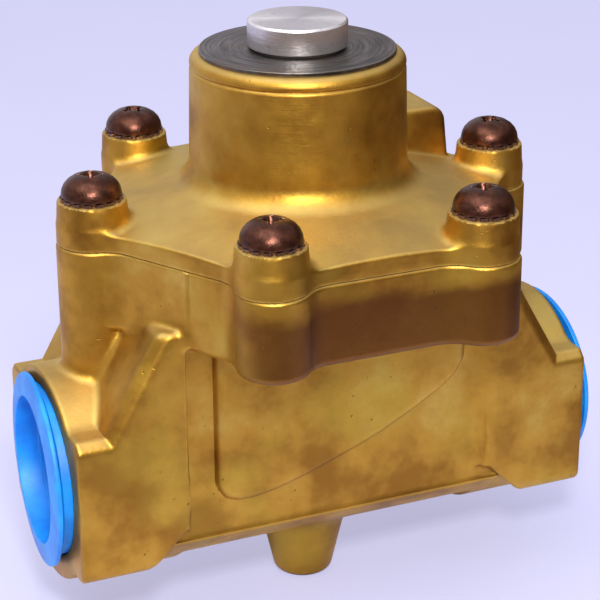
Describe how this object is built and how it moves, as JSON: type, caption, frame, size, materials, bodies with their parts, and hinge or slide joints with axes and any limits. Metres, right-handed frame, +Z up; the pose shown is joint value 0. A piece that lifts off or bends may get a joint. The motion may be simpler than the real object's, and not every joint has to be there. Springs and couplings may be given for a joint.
{
  "type": "remote pilot operated valve",
  "caption": "Brass globe-body valve with threaded pipe ports, a lobed bolted bonnet and spring tower, a side pilot port, a lifting diaphragm member inside, and pull-out port plugs.",
  "frame": {"origin": "on the pipe axis, in the middle of the tapped wall of the inlet port", "axes": "+X along the pipe from inlet to outlet, +Z up along the valve axis from the pipe towards the bonnet, -Y to the viewer"},
  "size_m": [0.1128, 0.0916, 0.1154],
  "materials": {
    "cast_brass": "satin",
    "turned_brass": "satin",
    "screw_steel": "satin",
    "disc_steel": "brushed",
    "stem_steel": "brushed",
    "cap_aluminium": "satin",
    "black_rubber": "matte",
    "blue_plastic": "satin"
  },
  "bodies": {
    "housing": {"valve_body": "cast_brass", "bonnet": "cast_brass", "bonnet_screw_1": "screw_steel", "bonnet_screw_2": "screw_steel", "bonnet_screw_3": "screw_steel", "bonnet_screw_4": "screw_steel", "bonnet_screw_5": "screw_steel", "bonnet_screw_6": "screw_steel", "lock_washer_1": "screw_steel", "lock_washer_2": "screw_steel", "lock_washer_3": "screw_steel", "lock_washer_4": "screw_steel", "lock_washer_5": "screw_steel", "lock_washer_6": "screw_steel", "cover_disc": "disc_steel", "cap_gasket": "black_rubber", "top_cap": "cap_aluminium", "seat_ring": "turned_brass", "guide_bush": "turned_brass", "diaphragm": "black_rubber", "return_spring": "stem_steel"},
    "valve_member": {"stem": "stem_steel", "stem_nut": "stem_steel", "diaphragm_plate": "stem_steel", "disc_holder": "turned_brass", "seat_disc": "black_rubber"},
    "inlet_cover": {"inlet_plug": "blue_plastic"},
    "outlet_cover": {"outlet_plug": "blue_plastic"}
  },
  "joints": [
    {"name": "valve_lift", "type": "slide", "parent": "housing", "child": "valve_member", "axis": [0, 0, 1], "range_m": [0, 0.005], "stiffness_N_per_m": 900, "springref_m": -0.008, "deforming": ["return_spring", "diaphragm"]},
    {"name": "inlet_plug_slide", "type": "slide", "parent": "housing", "child": "inlet_cover", "axis": [-1, 0, 0], "range_m": [0, 0.06]},
    {"name": "outlet_plug_slide", "type": "slide", "parent": "housing", "child": "outlet_cover", "axis": [1, 0, 0], "range_m": [0, 0.06]}
  ]
}
